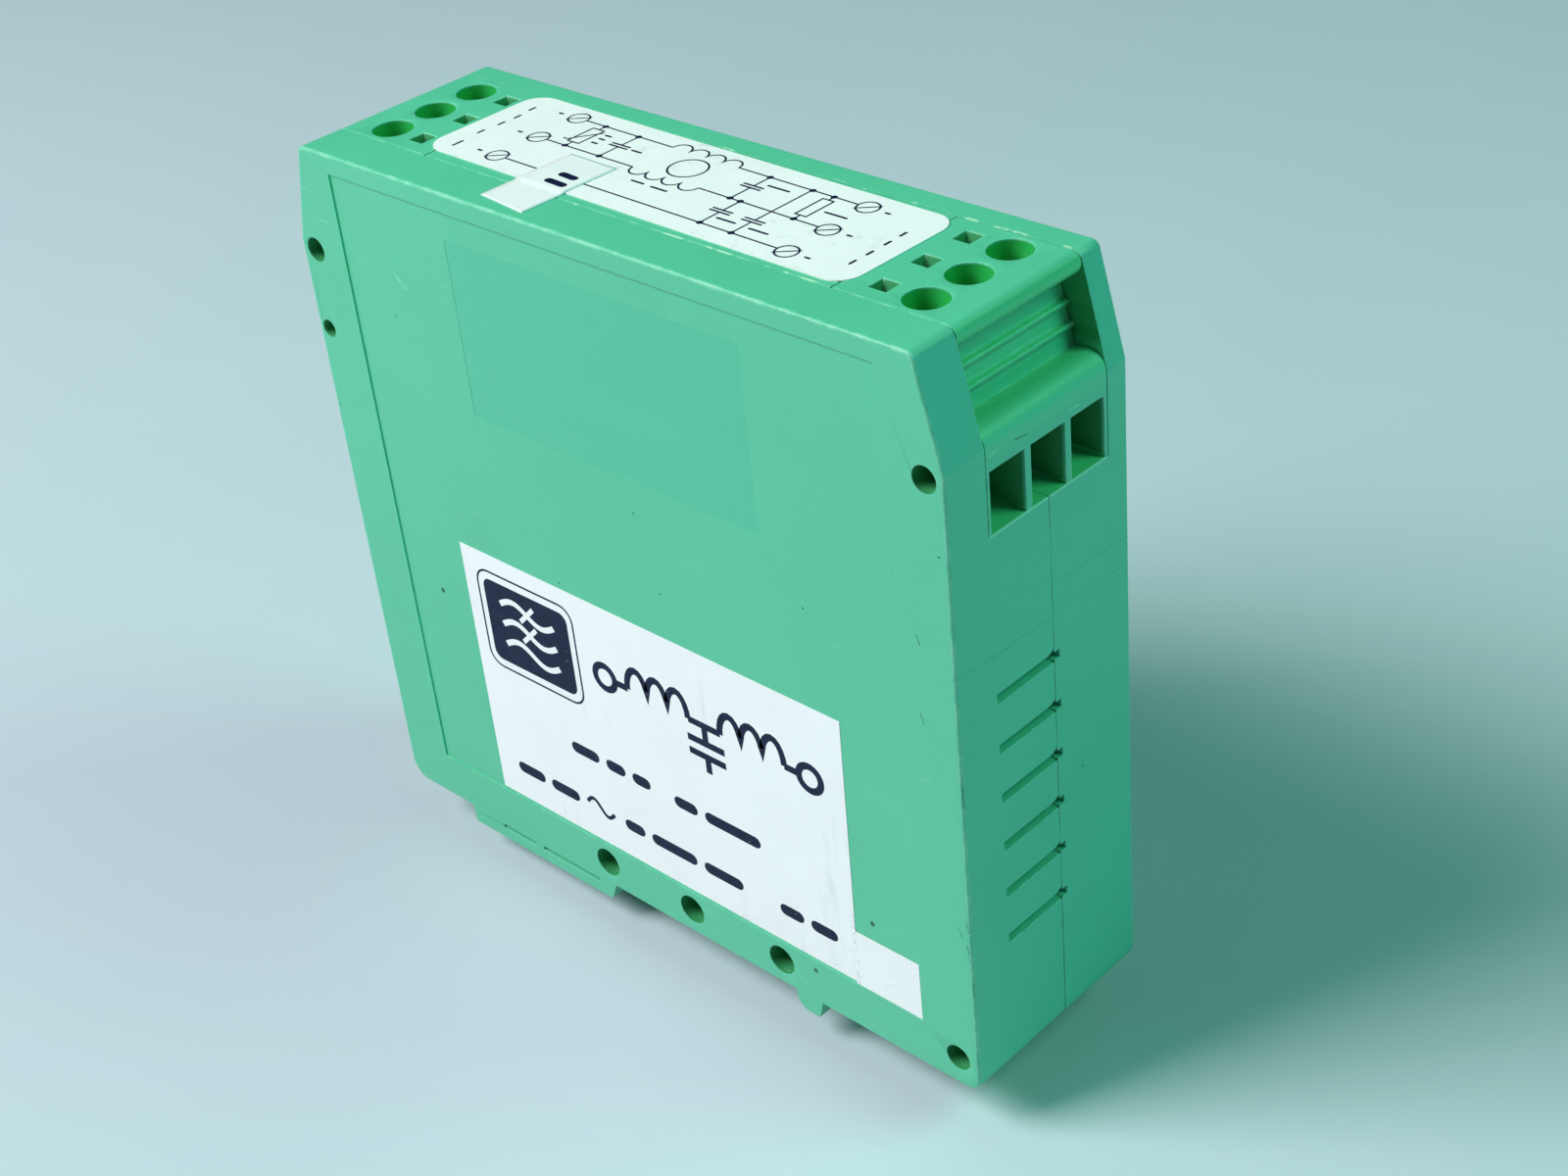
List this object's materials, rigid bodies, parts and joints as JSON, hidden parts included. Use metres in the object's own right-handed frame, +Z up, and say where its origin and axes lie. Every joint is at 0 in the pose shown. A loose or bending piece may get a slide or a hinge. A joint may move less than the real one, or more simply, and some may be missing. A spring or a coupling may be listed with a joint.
{
  "type": "emi line filter",
  "caption": "Slim rail-mounting mains filter in a green two-shell housing, with screw clamps and a marker channel at each end, side vents and a sliding rail catch.",
  "frame": {"origin": "middle of the footprint, on the surface that the rail hook and the catch stand on", "axes": "+X along the housing from the line end to the load end, +Y through its width from the labelled side to the plain side, +Z up to the terminal side"},
  "size_m": [0.0772, 0.0226, 0.077],
  "materials": {
    "housing_plastic": "satin moulded",
    "clamp_screw_steel": "zinc plated",
    "clamp_cage_steel": "zinc plated",
    "tinned_contact": "tin plated",
    "enamelled_wire": "clear enamel",
    "label_film": "satin printed film",
    "board_laminate": "coated laminate",
    "coated_core": "epoxy coated",
    "carrier_plastic": "moulded",
    "capacitor_case": "moulded",
    "disc_coating": "dipped coating",
    "resistor_coating": "lacquered",
    "catch_plastic": "satin moulded",
    "spring_steel": "bright wire"
  },
  "bodies": {
    "housing": {"front_shell": "housing_plastic", "back_shell": "housing_plastic", "top_cover": "housing_plastic", "line_terminal_block": "housing_plastic", "load_terminal_block": "housing_plastic", "line_contact_earth": "tinned_contact", "line_contact_neutral": "tinned_contact", "line_contact_live": "tinned_contact", "load_contact_earth": "tinned_contact", "load_contact_neutral": "tinned_contact", "load_contact_live": "tinned_contact", "circuit_board": "board_laminate", "choke_core": "coated_core", "choke_winding_live": "enamelled_wire", "choke_winding_neutral": "enamelled_wire", "choke_carrier": "carrier_plastic", "line_capacitor": "capacitor_case", "load_capacitor": "capacitor_case", "earth_capacitor_live": "disc_coating", "earth_capacitor_neutral": "disc_coating", "varistor": "disc_coating", "bleed_resistor": "resistor_coating", "catch_spring": "spring_steel", "top_label": "label_film", "side_label": "label_film", "small_label": "label_film", "end_sticker": "label_film"},
    "line_screw_earth": {"line_screw_earth": "clamp_screw_steel"},
    "line_cage_earth": {"line_cage_earth": "clamp_cage_steel"},
    "line_screw_neutral": {"line_screw_neutral": "clamp_screw_steel"},
    "line_cage_neutral": {"line_cage_neutral": "clamp_cage_steel"},
    "line_screw_live": {"line_screw_live": "clamp_screw_steel"},
    "line_cage_live": {"line_cage_live": "clamp_cage_steel"},
    "load_screw_earth": {"load_screw_earth": "clamp_screw_steel"},
    "load_cage_earth": {"load_cage_earth": "clamp_cage_steel"},
    "load_screw_neutral": {"load_screw_neutral": "clamp_screw_steel"},
    "load_cage_neutral": {"load_cage_neutral": "clamp_cage_steel"},
    "load_screw_live": {"load_screw_live": "clamp_screw_steel"},
    "load_cage_live": {"load_cage_live": "clamp_cage_steel"},
    "rail_catch": {"rail_catch": "catch_plastic"}
  },
  "joints": [
    {"name": "line_screw_earth_turn", "type": "hinge", "parent": "housing", "child": "line_screw_earth", "pos_m": [-0.0315, -0.0039, 0.071], "axis": [0, 0, -1], "range_deg": [0, 1440]},
    {"name": "line_cage_earth_lift", "type": "slide", "parent": "housing", "child": "line_cage_earth", "axis": [0, 0, 1], "range_m": [0, 0.0018]},
    {"name": "line_screw_neutral_turn", "type": "hinge", "parent": "housing", "child": "line_screw_neutral", "pos_m": [-0.0315, 0.0011, 0.071], "axis": [0, 0, -1], "range_deg": [0, 1440]},
    {"name": "line_cage_neutral_lift", "type": "slide", "parent": "housing", "child": "line_cage_neutral", "axis": [0, 0, 1], "range_m": [0, 0.0018]},
    {"name": "line_screw_live_turn", "type": "hinge", "parent": "housing", "child": "line_screw_live", "pos_m": [-0.0315, 0.0061, 0.071], "axis": [0, 0, -1], "range_deg": [0, 1440]},
    {"name": "line_cage_live_lift", "type": "slide", "parent": "housing", "child": "line_cage_live", "axis": [0, 0, 1], "range_m": [0, 0.0018]},
    {"name": "load_screw_earth_turn", "type": "hinge", "parent": "housing", "child": "load_screw_earth", "pos_m": [0.0315, -0.0039, 0.071], "axis": [0, 0, -1], "range_deg": [0, 1440]},
    {"name": "load_cage_earth_lift", "type": "slide", "parent": "housing", "child": "load_cage_earth", "axis": [0, 0, 1], "range_m": [0, 0.0018]},
    {"name": "load_screw_neutral_turn", "type": "hinge", "parent": "housing", "child": "load_screw_neutral", "pos_m": [0.0315, 0.0011, 0.071], "axis": [0, 0, -1], "range_deg": [0, 1440]},
    {"name": "load_cage_neutral_lift", "type": "slide", "parent": "housing", "child": "load_cage_neutral", "axis": [0, 0, 1], "range_m": [0, 0.0018]},
    {"name": "load_screw_live_turn", "type": "hinge", "parent": "housing", "child": "load_screw_live", "pos_m": [0.0315, 0.0061, 0.071], "axis": [0, 0, -1], "range_deg": [0, 1440]},
    {"name": "load_cage_live_lift", "type": "slide", "parent": "housing", "child": "load_cage_live", "axis": [0, 0, 1], "range_m": [0, 0.0018]},
    {"name": "rail_catch_slide", "type": "slide", "parent": "housing", "child": "rail_catch", "axis": [-1, 0, 0], "range_m": [0, 0.0022], "stiffness_N_per_m": 1200, "springref_m": -0.0025, "deforming": ["catch_spring"]}
  ],
  "couplings": [
    {"joint": "line_screw_earth_turn", "follows": "line_cage_earth_lift", "rad_per_m": 13963},
    {"joint": "line_screw_neutral_turn", "follows": "line_cage_neutral_lift", "rad_per_m": 13963},
    {"joint": "line_screw_live_turn", "follows": "line_cage_live_lift", "rad_per_m": 13963},
    {"joint": "load_screw_earth_turn", "follows": "load_cage_earth_lift", "rad_per_m": 13963},
    {"joint": "load_screw_neutral_turn", "follows": "load_cage_neutral_lift", "rad_per_m": 13963},
    {"joint": "load_screw_live_turn", "follows": "load_cage_live_lift", "rad_per_m": 13963}
  ]
}
